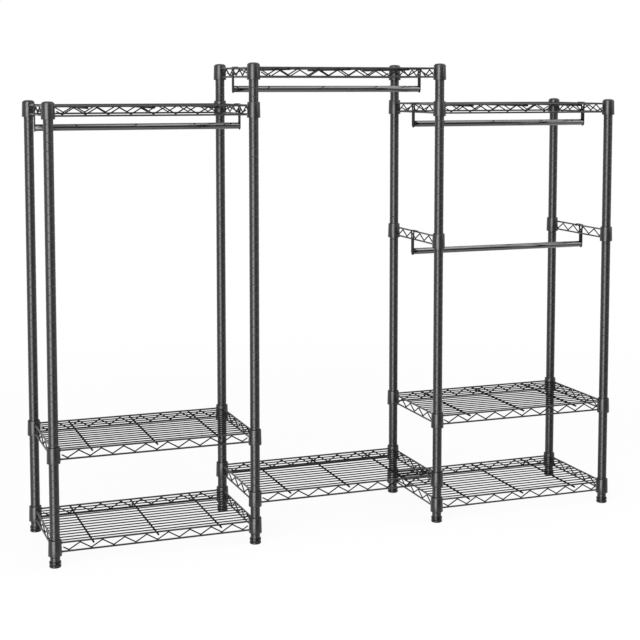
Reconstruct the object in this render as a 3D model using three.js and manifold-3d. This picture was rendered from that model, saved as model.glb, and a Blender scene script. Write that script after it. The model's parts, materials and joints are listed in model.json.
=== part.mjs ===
// Open frame wardrobe: three bays of wire shelves and hanging rods on four pairs of steel posts.
// Millimetres, +Z up, +X to the right, front towards -Y, origin on the floor under the middle.
import * as THREE from 'three';
import { mergeVertices } from 'three/addons/utils/BufferGeometryUtils.js';
import Module from 'manifold-3d';

const wasm = await Module();
wasm.setup();

// Plan of the rack, between post axes
const bayWidth = 605;
const bayDepth = 350;

// Heights of the collar tops above the floor, with the feet screwed fully in
const outerBottomLevel = 80;
const centreBottomLevel = 162;
const middleLevel = 351;
const sideFrameLevel = 921;
const outerTopLevel = 1334;
const centreTopLevel = 1446;

// Bays are counted from the left, and so are the pairs of posts
const leftBay = 1;
const centreBay = 2;
const rightBay = 3;

// Post: steel tube with a domed cap above, and a threaded insert below
const postDiameter = 28.8;
const postWall = 1.2;
const capLip = 0.8;
const capDome = 3.4;
const capCrownShare = 0.6;
const capStemLength = 12;
const insertLength = 18;

// Levelling foot, with a groove round it and a stud that screws into the insert
const footDiameter = 34.5;
const footHeight = 17;
const footGrooveDepth = 1.6;
const footGrooveWidth = 5;
const studDiameter = 8;
const studLength = 15;

// Tapered sleeve on the post, and the collar that wedges down over it
const sleeveHeight = 43;
const sleeveTopDiameter = 32;
const sleeveBottomDiameter = 34.4;
const collarHeight = 46.5;
const collarTopDiameter = 37.5;
const collarBottomDiameter = 40;

// Trusses: two rims with a zigzag wire between them
const rimDiameter = 5.4;
const topRimDrop = 10.5;
const rimSpacing = 26.5;
const zigzagDiameter = 3.8;
const frontZigzag = { feet: 9, start: 40 };
const sideZigzag = { feet: 5, start: 41 };

// Mat of thin wires on three cross wires, which run under the front and rear rims
const matDiameter = 3.4;
const matCount = 13;
const crossDiameter = 5.4;
const crossOverhang = 9;
const crossPlaceShares = [-0.318, 0, 0.318];

// Hanging rod. Its ends sit on spigots of strip hangers, which stand outside the side
// trusses. Each is forked above the lower rim, and its prongs hook over the top rim.
const rodDiameter = 20;
const rodWall = 1.2;
const rodDrop = 28;
const hangerThickness = 1.6;
const hangerWidth = 21;
const hangerForkWidth = 26;
const hangerOffset = 10;
const hangerEndDrop = 2;
const hangerTipLength = 4;
const slotTopWidth = 12;
const slotFloorWidth = 3;
const slotRise = 3;
const spigotLength = 8;

// Fits
const clearance = 0.3;
const weldDepth = 0.4;
const restGap = 0.15;

// Facets round each form
const postSides = 8;
const footSides = 8;
const rodSides = 8;
const rimSides = 4;
const endSides = 8;
const thinSides = 3;

// Finishes
const steelFinish = { color: 0x2f2e31, roughness: 0.42, metalness: 0.35 };
const plasticFinish = { color: 0x19191b, roughness: 0.6, metalness: 0 };
const zincFinish = { color: 0x8d8f90, roughness: 0.45, metalness: 0.9 };

const halfTurn = Math.PI;
const quarterTurn = Math.PI / 2;
const fullTurn = 2 * Math.PI;

// Corner radius of the polygon that has the same area as a round wire
function wireCorner(diameter, sides) {
  return (diameter / 2) * Math.sqrt(fullTurn / (sides * Math.sin(fullTurn / sides)));
}

// How far below its centre line a straight wire reaches, where a flat faces down
function flatReach(diameter, sides) {
  return wireCorner(diameter, sides) * Math.cos(halfTurn / sides);
}

// How far a wire bent in one plane reaches to either side of its centre line
function bendReach(diameter, sides) {
  const quarter = Math.round(sides / 4 - 0.5);
  return wireCorner(diameter, sides) * Math.sin((fullTurn * (quarter + 0.5)) / sides);
}

// Sizes that follow from the driving ones
const rimHalf = flatReach(rimDiameter, rimSides);
const matHalf = flatReach(matDiameter, thinSides);
const zigzagHalf = bendReach(zigzagDiameter, thinSides);
const crossHalf = flatReach(crossDiameter, rimSides);
const topRimHeight = collarHeight - topRimDrop;
const bottomRimHeight = topRimHeight - rimSpacing;
const boreTopDiameter = sleeveTopDiameter + 2 * clearance;
const boreBottomDiameter = sleeveBottomDiameter + 2 * clearance;
const rimInset = (boreBottomDiameter + collarTopDiameter) / 4;
const postBore = postDiameter - 2 * postWall;
const postBottom = footHeight + clearance;
const hookReach = rimHalf + clearance + hangerThickness;

// Closed mesh of positions only, with shared corners merged and empty triangles left out
function welded(geometry) {
  const bare = geometry.clone();
  bare.deleteAttribute('normal');
  bare.deleteAttribute('uv');
  const merged = mergeVertices(bare);
  const corners = Array.from(merged.index.array);
  const kept = [];
  for (let i = 0; i < corners.length; i += 3) {
    const [a, b, c] = corners.slice(i, i + 3);
    if (a !== b && b !== c && c !== a) kept.push(a, b, c);
  }
  merged.setIndex(kept);
  return merged;
}

function toSolid(geometry) {
  const source = welded(geometry);
  return new wasm.Manifold(new wasm.Mesh({
    numProp: 3,
    vertProperties: new Float32Array(source.getAttribute('position').array),
    triVerts: new Uint32Array(source.index.array),
  }));
}

// One body made by joining overlapping pieces
function joined(pieces) {
  const mesh = wasm.Manifold.union(pieces.map(toSolid)).getMesh();
  const geometry = new THREE.BufferGeometry();
  geometry.setAttribute('position', new THREE.BufferAttribute(mesh.vertProperties, 3));
  geometry.setIndex(new THREE.BufferAttribute(mesh.triVerts, 1));
  return geometry;
}

// Turned piece about Z, with flats that touch the round. The outline is a list of
// [diameter, height] pairs.
function turned(outline, sides) {
  const corner = 1 / Math.cos(halfTurn / sides);
  const points = outline.map(([diameter, z]) => new THREE.Vector2((diameter / 2) * corner, z));
  const lathe = new THREE.LatheGeometry(points, sides, halfTurn / sides);
  return welded(lathe.rotateX(quarterTurn));
}

// Path that keeps each of its corners where a section is swept along it
class BentPath extends THREE.Curve {
  constructor(points) {
    super();
    this.points = points;
  }

  getPointAt(t, target = new THREE.Vector3()) {
    const spans = this.points.length - 1;
    const span = Math.min(Math.floor(t * spans), spans - 1);
    return target.lerpVectors(this.points[span], this.points[span + 1], t * spans - span);
  }

  // The tangent halves the bend at a corner, so the section there is a mitre
  getTangentAt(t, target = new THREE.Vector3()) {
    const last = this.points.length - 1;
    const at = Math.round(t * last);
    const here = this.points[at];
    const before = here.clone().sub(this.points[Math.max(at - 1, 0)]).normalize();
    const after = this.points[Math.min(at + 1, last)].clone().sub(here).normalize();
    return target.addVectors(before, after).normalize();
  }
}

// Wire through [x, y, z] corners
function wire(corners, diameter, sides) {
  const radius = wireCorner(diameter, sides);
  const section = [];
  for (let i = 0; i < sides; i += 1) {
    const angle = (fullTurn * (i + 0.5)) / sides;
    section.push(new THREE.Vector2(radius * Math.cos(angle), radius * Math.sin(angle)));
  }
  return new THREE.ExtrudeGeometry(new THREE.Shape(section), {
    steps: corners.length - 1,
    bevelEnabled: false,
    extrudePath: new BentPath(corners.map((corner) => new THREE.Vector3(...corner))),
  });
}

// Straight wire along X, centred at a height
function bar(length, z, diameter, sides) {
  return wire([[-length / 2, 0, z], [length / 2, 0, z]], diameter, sides);
}

// Zigzag wire of a truss. Its end feet are welded to the lower rim, the other bends rest
// on the rims, and both ends stop free at half height.
function zigzagWire(length, { feet, start }) {
  const lastBend = 2 * (feet - 1);
  const run = (length - 2 * start) / lastBend;
  const low = bottomRimHeight + rimHalf + restGap + zigzagHalf;
  const high = topRimHeight - rimHalf - restGap - zigzagHalf;
  const corners = [[start - run / 2 - length / 2, 0, (low + high) / 2]];
  for (let i = 0; i <= lastBend; i += 1) {
    const sink = i === 0 || i === lastBend ? restGap + weldDepth : 0;
    corners.push([start + i * run - length / 2, 0, i % 2 === 0 ? low - sink : high]);
  }
  corners.push([length / 2 - start + run / 2, 0, (low + high) / 2]);
  return wire(corners, zigzagDiameter, thinSides);
}

// Truss between two post axes, along X
function trussPieces(length, zigzag) {
  const rimLength = length - 2 * rimInset;
  return [
    bar(rimLength, topRimHeight, rimDiameter, rimSides),
    bar(rimLength, bottomRimHeight, rimDiameter, rimSides),
    zigzagWire(length, zigzag),
  ];
}

function collar() {
  return turned([
    [boreBottomDiameter, 0],
    [collarBottomDiameter, 0],
    [collarTopDiameter, collarHeight],
    [boreTopDiameter, collarHeight],
    [boreBottomDiameter, 0],
  ], postSides);
}

// Side truss with its two collars, along Y
function sidePieces() {
  const pieces = trussPieces(bayDepth, sideZigzag).map((piece) => piece.rotateZ(quarterTurn));
  for (const side of [-1, 1]) pieces.push(collar().translate(0, (side * bayDepth) / 2, 0));
  return pieces;
}

function matPieces() {
  const length = bayWidth - 2 * (rimHalf - weldDepth);
  const height = topRimHeight - rimHalf + weldDepth + restGap + matHalf;
  const pieces = [];
  for (let i = 1; i <= matCount; i += 1) {
    const y = (i / (matCount + 1) - 0.5) * bayDepth;
    pieces.push(bar(length, height, matDiameter, thinSides).translate(0, y, 0));
  }
  return pieces;
}

function crossPieces() {
  const length = bayDepth + 2 * (rimHalf + crossOverhang);
  const height = topRimHeight - rimHalf + weldDepth - crossHalf;
  return crossPlaceShares.map((share) => {
    const piece = bar(length, height, crossDiameter, rimSides).rotateZ(quarterTurn);
    return piece.translate(share * bayWidth, 0, 0);
  });
}

function shelfGeometry() {
  const pieces = [...matPieces(), ...crossPieces()];
  for (const side of [-1, 1]) {
    const longPieces = trussPieces(bayWidth, frontZigzag);
    pieces.push(...longPieces.map((piece) => piece.translate(0, (side * bayDepth) / 2, 0)));
    pieces.push(...sidePieces().map((piece) => piece.translate((side * bayWidth) / 2, 0, 0)));
  }
  return joined(pieces);
}

// Tube with a tapered sleeve at the height of each collar that it carries
function postGeometry(top, levels) {
  const outline = [[postBore, postBottom], [postDiameter, postBottom]];
  for (const level of [...levels].sort((a, b) => a - b)) {
    const foot = level - collarHeight;
    outline.push([postDiameter, foot], [sleeveBottomDiameter, foot]);
    outline.push([sleeveTopDiameter, foot + sleeveHeight], [postDiameter, foot + sleeveHeight]);
  }
  outline.push([postDiameter, top], [postBore, top], [postBore, postBottom]);
  return turned(outline, postSides);
}

// Domed cap that rests on the post's end and passes through the collar's bore
function capGeometry() {
  const stem = postBore - 2 * clearance;
  const crown = sleeveTopDiameter;
  const crownHeight = capDome * Math.sqrt(1 - capCrownShare ** 2);
  return turned([
    [0, -capStemLength],
    [stem, -capStemLength],
    [stem, clearance],
    [crown, clearance],
    [crown, clearance + capLip],
    [capCrownShare * crown, clearance + capLip + crownHeight],
    [0, clearance + capLip + capDome],
  ], postSides);
}

function insertGeometry() {
  const outer = postBore - 2 * clearance;
  const hole = studDiameter + 2 * clearance;
  return turned([
    [hole, postBottom],
    [outer, postBottom],
    [outer, postBottom + insertLength],
    [hole, postBottom + insertLength],
    [hole, postBottom],
  ], postSides);
}

function footGeometry() {
  const middle = footHeight / 2;
  return turned([
    [0, 0],
    [footDiameter, 0],
    [footDiameter, middle - footGrooveWidth / 2],
    [footDiameter - 2 * footGrooveDepth, middle],
    [footDiameter, middle + footGrooveWidth / 2],
    [footDiameter, footHeight],
    [studDiameter, footHeight],
    [studDiameter, footHeight + studLength],
    [0, footHeight + studLength],
  ], footSides);
}

function rodGeometry() {
  const bore = rodDiameter - 2 * rodWall;
  const end = bayWidth / 2 + hangerOffset - hangerThickness / 2 - clearance;
  const outline = [[bore, -end], [rodDiameter, -end], [rodDiameter, end], [bore, end], [bore, -end]];
  return turned(outline, rodSides).rotateY(quarterTurn).translate(0, 0, -rodDrop);
}

// Solid between two faces square to X, from its [y, z] outline
function slab(outline, from, to) {
  const shape = new THREE.Shape(outline.map(([y, z]) => new THREE.Vector2(y, z)));
  const geometry = new THREE.ExtrudeGeometry(shape, { depth: to - from, bevelEnabled: false });
  return geometry.rotateY(quarterTurn).rotateX(quarterTurn).translate(from, 0, 0);
}

// Strip with a round lower end and a V-shaped slot from above the lower rim to the top
function stripPiece() {
  const top = topRimHeight + hookReach;
  const bend = top - hangerThickness;
  const floor = bottomRimHeight + rimHalf + slotRise;
  const outline = [];
  for (let i = 0; i <= endSides; i += 1) {
    const angle = (halfTurn * i) / endSides;
    const y = -(hangerWidth / 2) * Math.cos(angle);
    outline.push([y, -rodDrop - hangerEndDrop - (hangerWidth / 2) * Math.sin(angle)]);
  }
  outline.push([hangerWidth / 2, bottomRimHeight], [hangerForkWidth / 2, bend]);
  outline.push([hangerForkWidth / 2, top], [slotTopWidth / 2, top], [slotTopWidth / 2, bend]);
  outline.push([slotFloorWidth / 2, floor], [-slotFloorWidth / 2, floor]);
  outline.push([-slotTopWidth / 2, bend], [-slotTopWidth / 2, top], [-hangerForkWidth / 2, top]);
  outline.push([-hangerForkWidth / 2, bend], [-hangerWidth / 2, bottomRimHeight]);
  const middle = -hangerOffset;
  return slab(outline, middle - hangerThickness / 2, middle + hangerThickness / 2);
}

// Hook of a prong: over the top rim and down behind it, from its [x, z] outline
function hookPiece(side) {
  const top = topRimHeight + hookReach;
  const outer = -hangerOffset - hangerThickness / 2;
  const shape = new THREE.Shape([
    [outer, top - hangerThickness],
    [hookReach - hangerThickness, top - hangerThickness],
    [hookReach - hangerThickness, topRimHeight - hangerTipLength],
    [hookReach, topRimHeight - hangerTipLength],
    [hookReach, top],
    [outer, top],
  ].map(([x, z]) => new THREE.Vector2(x, z)));
  const width = (hangerForkWidth - slotTopWidth) / 2;
  const middle = (side * (hangerForkWidth + slotTopWidth)) / 4;
  const geometry = new THREE.ExtrudeGeometry(shape, { depth: width, bevelEnabled: false });
  return geometry.rotateX(quarterTurn).translate(0, middle + width / 2, 0);
}

// Round peg on the strip that the rod's end slides over
function spigotPiece() {
  const diameter = rodDiameter - 2 * rodWall - 2 * clearance;
  const start = -hangerOffset;
  const end = start + hangerThickness / 2 + spigotLength;
  const peg = turned([[0, start], [diameter, start], [diameter, end], [0, end]], rodSides);
  return peg.rotateY(quarterTurn).translate(0, 0, -rodDrop);
}

function hangerGeometry() {
  return joined([stripPiece(), spigotPiece(), hookPiece(-1), hookPiece(1)]);
}

// What each level carries: its bay, its collar height, and the pieces that sit there
const levels = [
  { name: 'left_top', bay: leftBay, level: outerTopLevel, shelf: true, rod: true },
  { name: 'left_middle', bay: leftBay, level: middleLevel, shelf: true },
  { name: 'left_bottom', bay: leftBay, level: outerBottomLevel, shelf: true },
  { name: 'centre_top', bay: centreBay, level: centreTopLevel, shelf: true, rod: true },
  { name: 'centre_bottom', bay: centreBay, level: centreBottomLevel, shelf: true },
  { name: 'right_top', bay: rightBay, level: outerTopLevel, shelf: true, rod: true },
  { name: 'right_lower', bay: rightBay, level: sideFrameLevel, rod: true },
  { name: 'right_middle', bay: rightBay, level: middleLevel, shelf: true },
  { name: 'right_bottom', bay: rightBay, level: outerBottomLevel, shelf: true },
];

const rack = new THREE.Group();

function addPiece(parent, name, geometry, finish) {
  const mesh = new THREE.Mesh(geometry, new THREE.MeshStandardMaterial(finish));
  mesh.name = name;
  parent.add(mesh);
  return mesh;
}

function addPost(pair, row, side) {
  const carried = levels.filter(({ bay }) => bay === pair || bay === pair - 1);
  const heights = carried.map(({ level }) => level);
  const top = Math.max(...heights);
  const place = new THREE.Group();
  place.position.set((pair - centreBay - 0.5) * bayWidth, (side * bayDepth) / 2, 0);
  addPiece(place, `post_${pair}_${row}`, postGeometry(top, heights), steelFinish);
  addPiece(place, `cap_${pair}_${row}`, capGeometry(), plasticFinish).position.z = top;
  addPiece(place, `insert_${pair}_${row}`, insertGeometry(), zincFinish);
  addPiece(place, `foot_${pair}_${row}`, footGeometry(), plasticFinish);
  rack.add(place);
}

// Two side trusses, one on each pair of posts, that carry a rod with no shelf above it
function addSideFrames(place) {
  for (const [end, side] of [['inner', -1], ['outer', 1]]) {
    const frame = addPiece(place, `side_frame_${end}`, joined(sidePieces()), steelFinish);
    frame.position.x = (side * bayWidth) / 2;
  }
}

function addRod(place, name) {
  addPiece(place, `rod_${name}`, rodGeometry(), steelFinish);
  const left = addPiece(place, `hanger_${name}_left`, hangerGeometry(), steelFinish);
  left.position.x = -bayWidth / 2;
  const right = addPiece(place, `hanger_${name}_right`, hangerGeometry(), steelFinish);
  right.position.x = bayWidth / 2;
  right.rotation.z = halfTurn;
}

function addLevel({ name, bay, level, shelf, rod }) {
  const place = new THREE.Group();
  place.position.set((bay - centreBay) * bayWidth, 0, level - collarHeight);
  if (shelf) addPiece(place, `shelf_${name}`, shelfGeometry(), steelFinish);
  else addSideFrames(place);
  if (rod) addRod(place, name);
  rack.add(place);
}

for (let pair = leftBay; pair <= rightBay + 1; pair += 1) {
  addPost(pair, 'front', -1);
  addPost(pair, 'rear', 1);
}
levels.forEach(addLevel);

export default rack;
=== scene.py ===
"""Open frame wardrobe: the looks of the rack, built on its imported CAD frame.

Metres, +Z up, +X to the right, front towards -Y, as in the frame. Each sub-assembly is a class
with its sizes as fields. It models its pieces with Blender's own tools, dresses them in their
finishes and puts them on the bodies that carry them. Places are read from the frame.
"""

import json
import logging
import math
from collections.abc import Mapping, Sequence
from dataclasses import dataclass
from enum import Enum
from typing import Self

import bpy
from mathutils import Matrix, Quaternion, Vector

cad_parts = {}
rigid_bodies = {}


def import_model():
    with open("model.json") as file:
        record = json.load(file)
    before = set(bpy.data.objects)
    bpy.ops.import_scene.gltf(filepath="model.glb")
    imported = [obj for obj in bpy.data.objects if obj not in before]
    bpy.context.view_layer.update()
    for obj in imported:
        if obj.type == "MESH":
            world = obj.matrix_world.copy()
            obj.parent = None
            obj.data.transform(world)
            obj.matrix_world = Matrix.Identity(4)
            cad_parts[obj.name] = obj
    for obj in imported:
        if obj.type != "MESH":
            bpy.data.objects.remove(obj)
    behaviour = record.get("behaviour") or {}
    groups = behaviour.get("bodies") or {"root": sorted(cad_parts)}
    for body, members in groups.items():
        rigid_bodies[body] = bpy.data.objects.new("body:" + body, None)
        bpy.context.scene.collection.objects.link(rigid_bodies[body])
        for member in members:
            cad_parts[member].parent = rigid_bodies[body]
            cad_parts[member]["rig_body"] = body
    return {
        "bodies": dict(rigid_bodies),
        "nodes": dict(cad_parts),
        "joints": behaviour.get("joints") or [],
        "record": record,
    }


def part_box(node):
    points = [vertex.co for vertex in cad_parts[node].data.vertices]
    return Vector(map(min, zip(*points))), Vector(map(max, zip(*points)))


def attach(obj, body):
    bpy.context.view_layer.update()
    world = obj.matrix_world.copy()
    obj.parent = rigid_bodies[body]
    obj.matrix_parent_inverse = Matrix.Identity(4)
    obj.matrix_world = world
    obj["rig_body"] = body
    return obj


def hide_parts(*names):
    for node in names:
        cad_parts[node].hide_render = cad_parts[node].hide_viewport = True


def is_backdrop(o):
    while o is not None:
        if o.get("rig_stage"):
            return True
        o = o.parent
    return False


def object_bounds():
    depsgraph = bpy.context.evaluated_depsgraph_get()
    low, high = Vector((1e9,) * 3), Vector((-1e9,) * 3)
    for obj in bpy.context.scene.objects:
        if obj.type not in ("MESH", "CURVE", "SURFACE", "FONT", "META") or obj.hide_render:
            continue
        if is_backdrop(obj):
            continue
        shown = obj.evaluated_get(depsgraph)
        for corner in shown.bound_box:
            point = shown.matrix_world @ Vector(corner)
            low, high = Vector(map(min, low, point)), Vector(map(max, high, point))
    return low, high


LOG = logging.getLogger("wardrobe")
X_AXIS = Vector((1, 0, 0))
Y_AXIS = Vector((0, 1, 0))
Z_AXIS = Vector((0, 0, 1))
MERGE_DISTANCE = 1e-6
SIDES_OF_PAIR = (-1, 1)

Colour = tuple[float, float, float]
Socket = bpy.types.NodeSocket
Value = Socket | float | Sequence[float]

WHITE = (1, 1, 1, 1)
FULL_RANGE = (0, 1)
# Nearly all values of a noise pattern lie in its span, and most of them in its core.
NOISE_SPAN = (0.3, 0.7)
NOISE_CORE = (0.35, 0.65)
# A surface reads 0.5 where it is flat and more on its outer edges.
OUTER_EDGES = (0.515, 0.6)


class Slot(Enum):
    """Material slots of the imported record."""

    POWDER_COAT = "powder_coat"
    ROD_COAT = "rod_coat"
    SLEEVE_PLASTIC = "sleeve_plastic"
    CAP_PLASTIC = "cap_plastic"
    FOOT_PLASTIC = "foot_plastic"
    INSERT_ZINC = "insert_zinc"


class Ends(Enum):
    """How a turned outline closes."""

    CAPPED = "capped"
    HOLLOW = "hollow"


# Finishes


class NodeBench:
    """Lays out the nodes of a material or a world and joins them."""

    def __init__(self, owner: bpy.types.Material | bpy.types.World, shader: str) -> None:
        """Start on a new material or world.

        Args:
            owner: What the nodes belong to.
            shader: Name of the shader node that it starts with.
        """
        owner.use_nodes = True
        self.tree = owner.node_tree
        self.shader = self.tree.nodes[shader]

    def put(self, socket: Socket, value: Value) -> None:
        """Join another node's socket to an input, or set the input to numbers.

        Args:
            socket: The input.
            value: What goes into it.
        """
        if isinstance(value, Socket):
            self.tree.links.new(value, socket)
        else:
            socket.default_value = value

    def add(
        self, kind: str, inputs: Mapping[str | int, Value] | None = None, **settings: str
    ) -> bpy.types.Node:
        """Add a node.

        Args:
            kind: Its type, without the word that all types start with.
            inputs: What goes into its inputs, by their names or numbers.
            settings: Its settings by name.

        Returns:
            The node.
        """
        node = self.tree.nodes.new(f"ShaderNode{kind}")
        for name, value in settings.items():
            setattr(node, name, value)
        for key, value in (inputs or {}).items():
            self.put(node.inputs[key], value)
        return node

    def feed(self, name: str, value: Value) -> None:
        """Fill the shader's input of that name."""
        self.put(self.shader.inputs[name], value)

    def place(self, stretch: Sequence[float] = (1, 1, 1)) -> Socket:
        """Return the place on the object, scaled along X, Y and Z."""
        place = self.add("TexCoord").outputs["Object"]
        return self.add("Mapping", {"Vector": place, "Scale": stretch}).outputs["Vector"]

    def noise(self, place: Socket, scale: float, detail: float) -> Socket:
        """Return a soft pattern near 0.5, by its patches in a metre and its finer layers."""
        inputs = {"Vector": place, "Scale": scale, "Detail": detail}
        return self.add("TexNoise", inputs).outputs["Fac"]

    def spread(self, value: Socket, source: Sequence[float], target: Sequence[Value]) -> Socket:
        """Return a value mapped from one lowest and highest value to others and held there."""
        span = dict(zip(("From Min", "From Max", "To Min", "To Max"), (*source, *target)))
        return self.add("MapRange", {"Value": value, **span}).outputs["Result"]

    def blend(self, share: Socket, low: Colour | Socket, high: Colour) -> Socket:
        """Mix two colours.

        Args:
            share: How much of the second colour shows.
            low: First colour, as numbers or from another mix.
            high: Second colour.

        Returns:
            The mixed colour.
        """
        node = self.add("Mix", data_type="RGBA")
        first, second = (socket for socket in node.inputs if socket.type == "RGBA")
        self.put(next(socket for socket in node.inputs if socket.name == "Factor"), share)
        self.put(first, (*low, 1) if isinstance(low, tuple) else low)
        self.put(second, (*high, 1))
        return next(socket for socket in node.outputs if socket.type == "RGBA")

    def edges(self) -> Socket:
        """Return a value that rises on outer edges, where a finish rubs thin."""
        return self.add("NewGeometry").outputs["Pointiness"]

    def emboss(self, value: Socket, strength: float, depth: float) -> None:
        """Raise the surface by a pattern, by the relief's share that shows and its metres."""
        inputs = {"Height": value, "Strength": strength, "Distance": depth}
        self.feed("Normal", self.add("Bump", inputs).outputs["Normal"])


@dataclass(frozen=True)
class PowderCoat:
    """Baked powder paint on steel: satin, with a fine orange peel and clouded gloss.

    Wear is the share of the rubbed colour on outer edges. Thin wires have none, because the whole
    of a thin wire counts as an edge.
    """

    name: str
    slot: Slot = Slot.POWDER_COAT
    deep: Colour = (0.0048, 0.0045, 0.005)
    light: Colour = (0.0082, 0.0077, 0.0085)
    rubbed: Colour = (0.022, 0.021, 0.0225)
    wear: float = 0.0
    metallic: float = 0.0
    specular: float = 0.5
    gloss: tuple[float, float] = (0.3, 0.36)
    cloud_scale: float = 14
    peel_scale: float = 850
    peel_depth: float = 0.00007
    peel_strength: float = 0.35
    fleck_range: tuple[float, float] = (0.62, 0.78)
    fleck_share: float = 0.45
    stretch: tuple[float, float, float] = (1, 1, 1)

    def lay(self, bench: NodeBench) -> None:
        """Lay out the paint's nodes.

        Args:
            bench: Where they go.
        """
        place = bench.place(self.stretch)
        cloud = bench.noise(place, self.cloud_scale, detail=4)
        peel = bench.noise(place, self.peel_scale, detail=2)
        grain = bench.noise(place, self.peel_scale / 3, detail=3)
        base = bench.blend(bench.spread(cloud, NOISE_CORE, FULL_RANGE), self.deep, self.light)
        speckle = bench.spread(peel, self.fleck_range, (0, self.fleck_share))
        flecks = bench.blend(speckle, base, self.rubbed)
        if self.wear:
            rubs = bench.spread(bench.edges(), OUTER_EDGES, (0, self.wear))
            flecks = bench.blend(rubs, flecks, self.rubbed)
        bench.feed("Base Color", flecks)
        bench.feed("Roughness", bench.spread(grain, NOISE_CORE, self.gloss))
        bench.feed("Metallic", self.metallic)
        bench.feed("Specular IOR Level", self.specular)
        bench.emboss(peel, self.peel_strength, self.peel_depth)


@dataclass(frozen=True)
class MouldedPlastic:
    """Black moulded plastic with a fine spark texture."""

    name: str
    slot: Slot
    deep: Colour = (0.005, 0.005, 0.0055)
    light: Colour = (0.009, 0.009, 0.0095)
    scuffed: Colour = (0.020, 0.020, 0.021)
    gloss: tuple[float, float] = (0.40, 0.52)
    specular: float = 0.45
    wear: float = 0.5
    flow_scale: float = 60
    grain_scale: float = 1300
    grain_depth: float = 0.00006
    grain_strength: float = 0.3

    def lay(self, bench: NodeBench) -> None:
        """Lay out the plastic's nodes.

        Args:
            bench: Where they go.
        """
        place = bench.place()
        flow = bench.noise(place, self.flow_scale, detail=3)
        grain = bench.noise(place, self.grain_scale, detail=2)
        base = bench.blend(bench.spread(flow, NOISE_CORE, FULL_RANGE), self.deep, self.light)
        rubs = bench.spread(bench.edges(), OUTER_EDGES, (0, self.wear))
        bench.feed("Base Color", bench.blend(rubs, base, self.scuffed))
        bench.feed("Roughness", bench.spread(flow, NOISE_SPAN, self.gloss))
        bench.feed("Specular IOR Level", self.specular)
        bench.emboss(grain, self.grain_strength, self.grain_depth)


@dataclass(frozen=True)
class ZincPlate:
    """Bright zinc plate on turned steel, with faint cloudy spangles and turning marks."""

    name: str = "bright_zinc_plate"
    slot: Slot = Slot.INSERT_ZINC
    dull: Colour = (0.33, 0.34, 0.36)
    bright: Colour = (0.56, 0.57, 0.58)
    gloss: tuple[float, float] = (0.24, 0.42)
    spangle_scale: float = 420
    mark_scale: float = 2400
    mark_stretch: tuple[float, float, float] = (0.05, 0.05, 1)
    mark_depth: float = 0.00004
    mark_strength: float = 0.2

    def lay(self, bench: NodeBench) -> None:
        """Lay out the plating's nodes.

        Args:
            bench: Where they go.
        """
        spangle = bench.noise(bench.place(), self.spangle_scale, detail=4)
        marks = bench.noise(bench.place(self.mark_stretch), self.mark_scale, detail=1)
        base = bench.blend(bench.spread(spangle, NOISE_CORE, FULL_RANGE), self.dull, self.bright)
        bench.feed("Base Color", base)
        bench.feed("Roughness", bench.spread(spangle, NOISE_SPAN, self.gloss))
        bench.feed("Metallic", 1)
        bench.emboss(marks, self.mark_strength, self.mark_depth)


Finish = PowderCoat | MouldedPlastic | ZincPlate

RIM_STEEL = PowderCoat(name="rim_powder_coat", gloss=(0.22, 0.28))
TUBE_STEEL = PowderCoat(
    name="ribbed_powder_coat",
    gloss=(0.34, 0.4),
    stretch=(0.4, 0.4, 2.4),
    peel_depth=0.00005,
)
COLLAR_STEEL = PowderCoat(name="rubbed_powder_coat", wear=0.35)
WIRE_STEEL = PowderCoat(
    name="wire_powder_coat",
    deep=(0.003, 0.003, 0.0033),
    light=(0.006, 0.0058, 0.0063),
    specular=0.08,
    gloss=(0.4, 0.5),
)
ROD = PowderCoat(
    name="drawn_rod_coat",
    slot=Slot.ROD_COAT,
    deep=(0.108, 0.106, 0.11),
    light=(0.136, 0.133, 0.138),
    rubbed=(0.24, 0.235, 0.245),
    metallic=1.0,
    gloss=(0.08, 0.12),
    stretch=(0.04, 1, 1),
    peel_depth=0.00004,
)
SLEEVE_PLASTIC = MouldedPlastic(
    name="moulded_sleeve_plastic", slot=Slot.SLEEVE_PLASTIC, gloss=(0.3, 0.4)
)
CAP_PLASTIC = MouldedPlastic(
    name="moulded_cap_plastic", slot=Slot.CAP_PLASTIC, gloss=(0.33, 0.43)
)
FOOT_PLASTIC = MouldedPlastic(
    name="moulded_foot_plastic",
    slot=Slot.FOOT_PLASTIC,
    deep=(0.003, 0.003, 0.0033),
    light=(0.006, 0.006, 0.0064),
    scuffed=(0.009, 0.009, 0.0095),
    gloss=(0.3, 0.38),
    specular=0.3,
)
ZINC = ZincPlate()
TRUSS_FINISHES = {"collars": COLLAR_STEEL, "rims": RIM_STEEL}


def dress(piece: bpy.types.Object, finish: Finish) -> None:
    """Give a piece its finish.

    Args:
        piece: The piece to dress.
        finish: Its finish, whose material is made when it is first used.
    """
    material = bpy.data.materials.get(finish.name)
    if material is None:
        material = bpy.data.materials.new(finish.name)
        finish.lay(NodeBench(material, "Principled BSDF"))
    piece.data.materials.clear()
    piece.data.materials.append(material)


# Modelling by hand


def select_only(*pieces: bpy.types.Object) -> None:
    """Select these objects and nothing else.

    Args:
        pieces: The objects. The first one becomes the active one.
    """
    bpy.ops.object.select_all(action="DESELECT")
    for piece in pieces:
        piece.select_set(True)
    if pieces:
        bpy.context.view_layer.objects.active = pieces[0]


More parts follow.
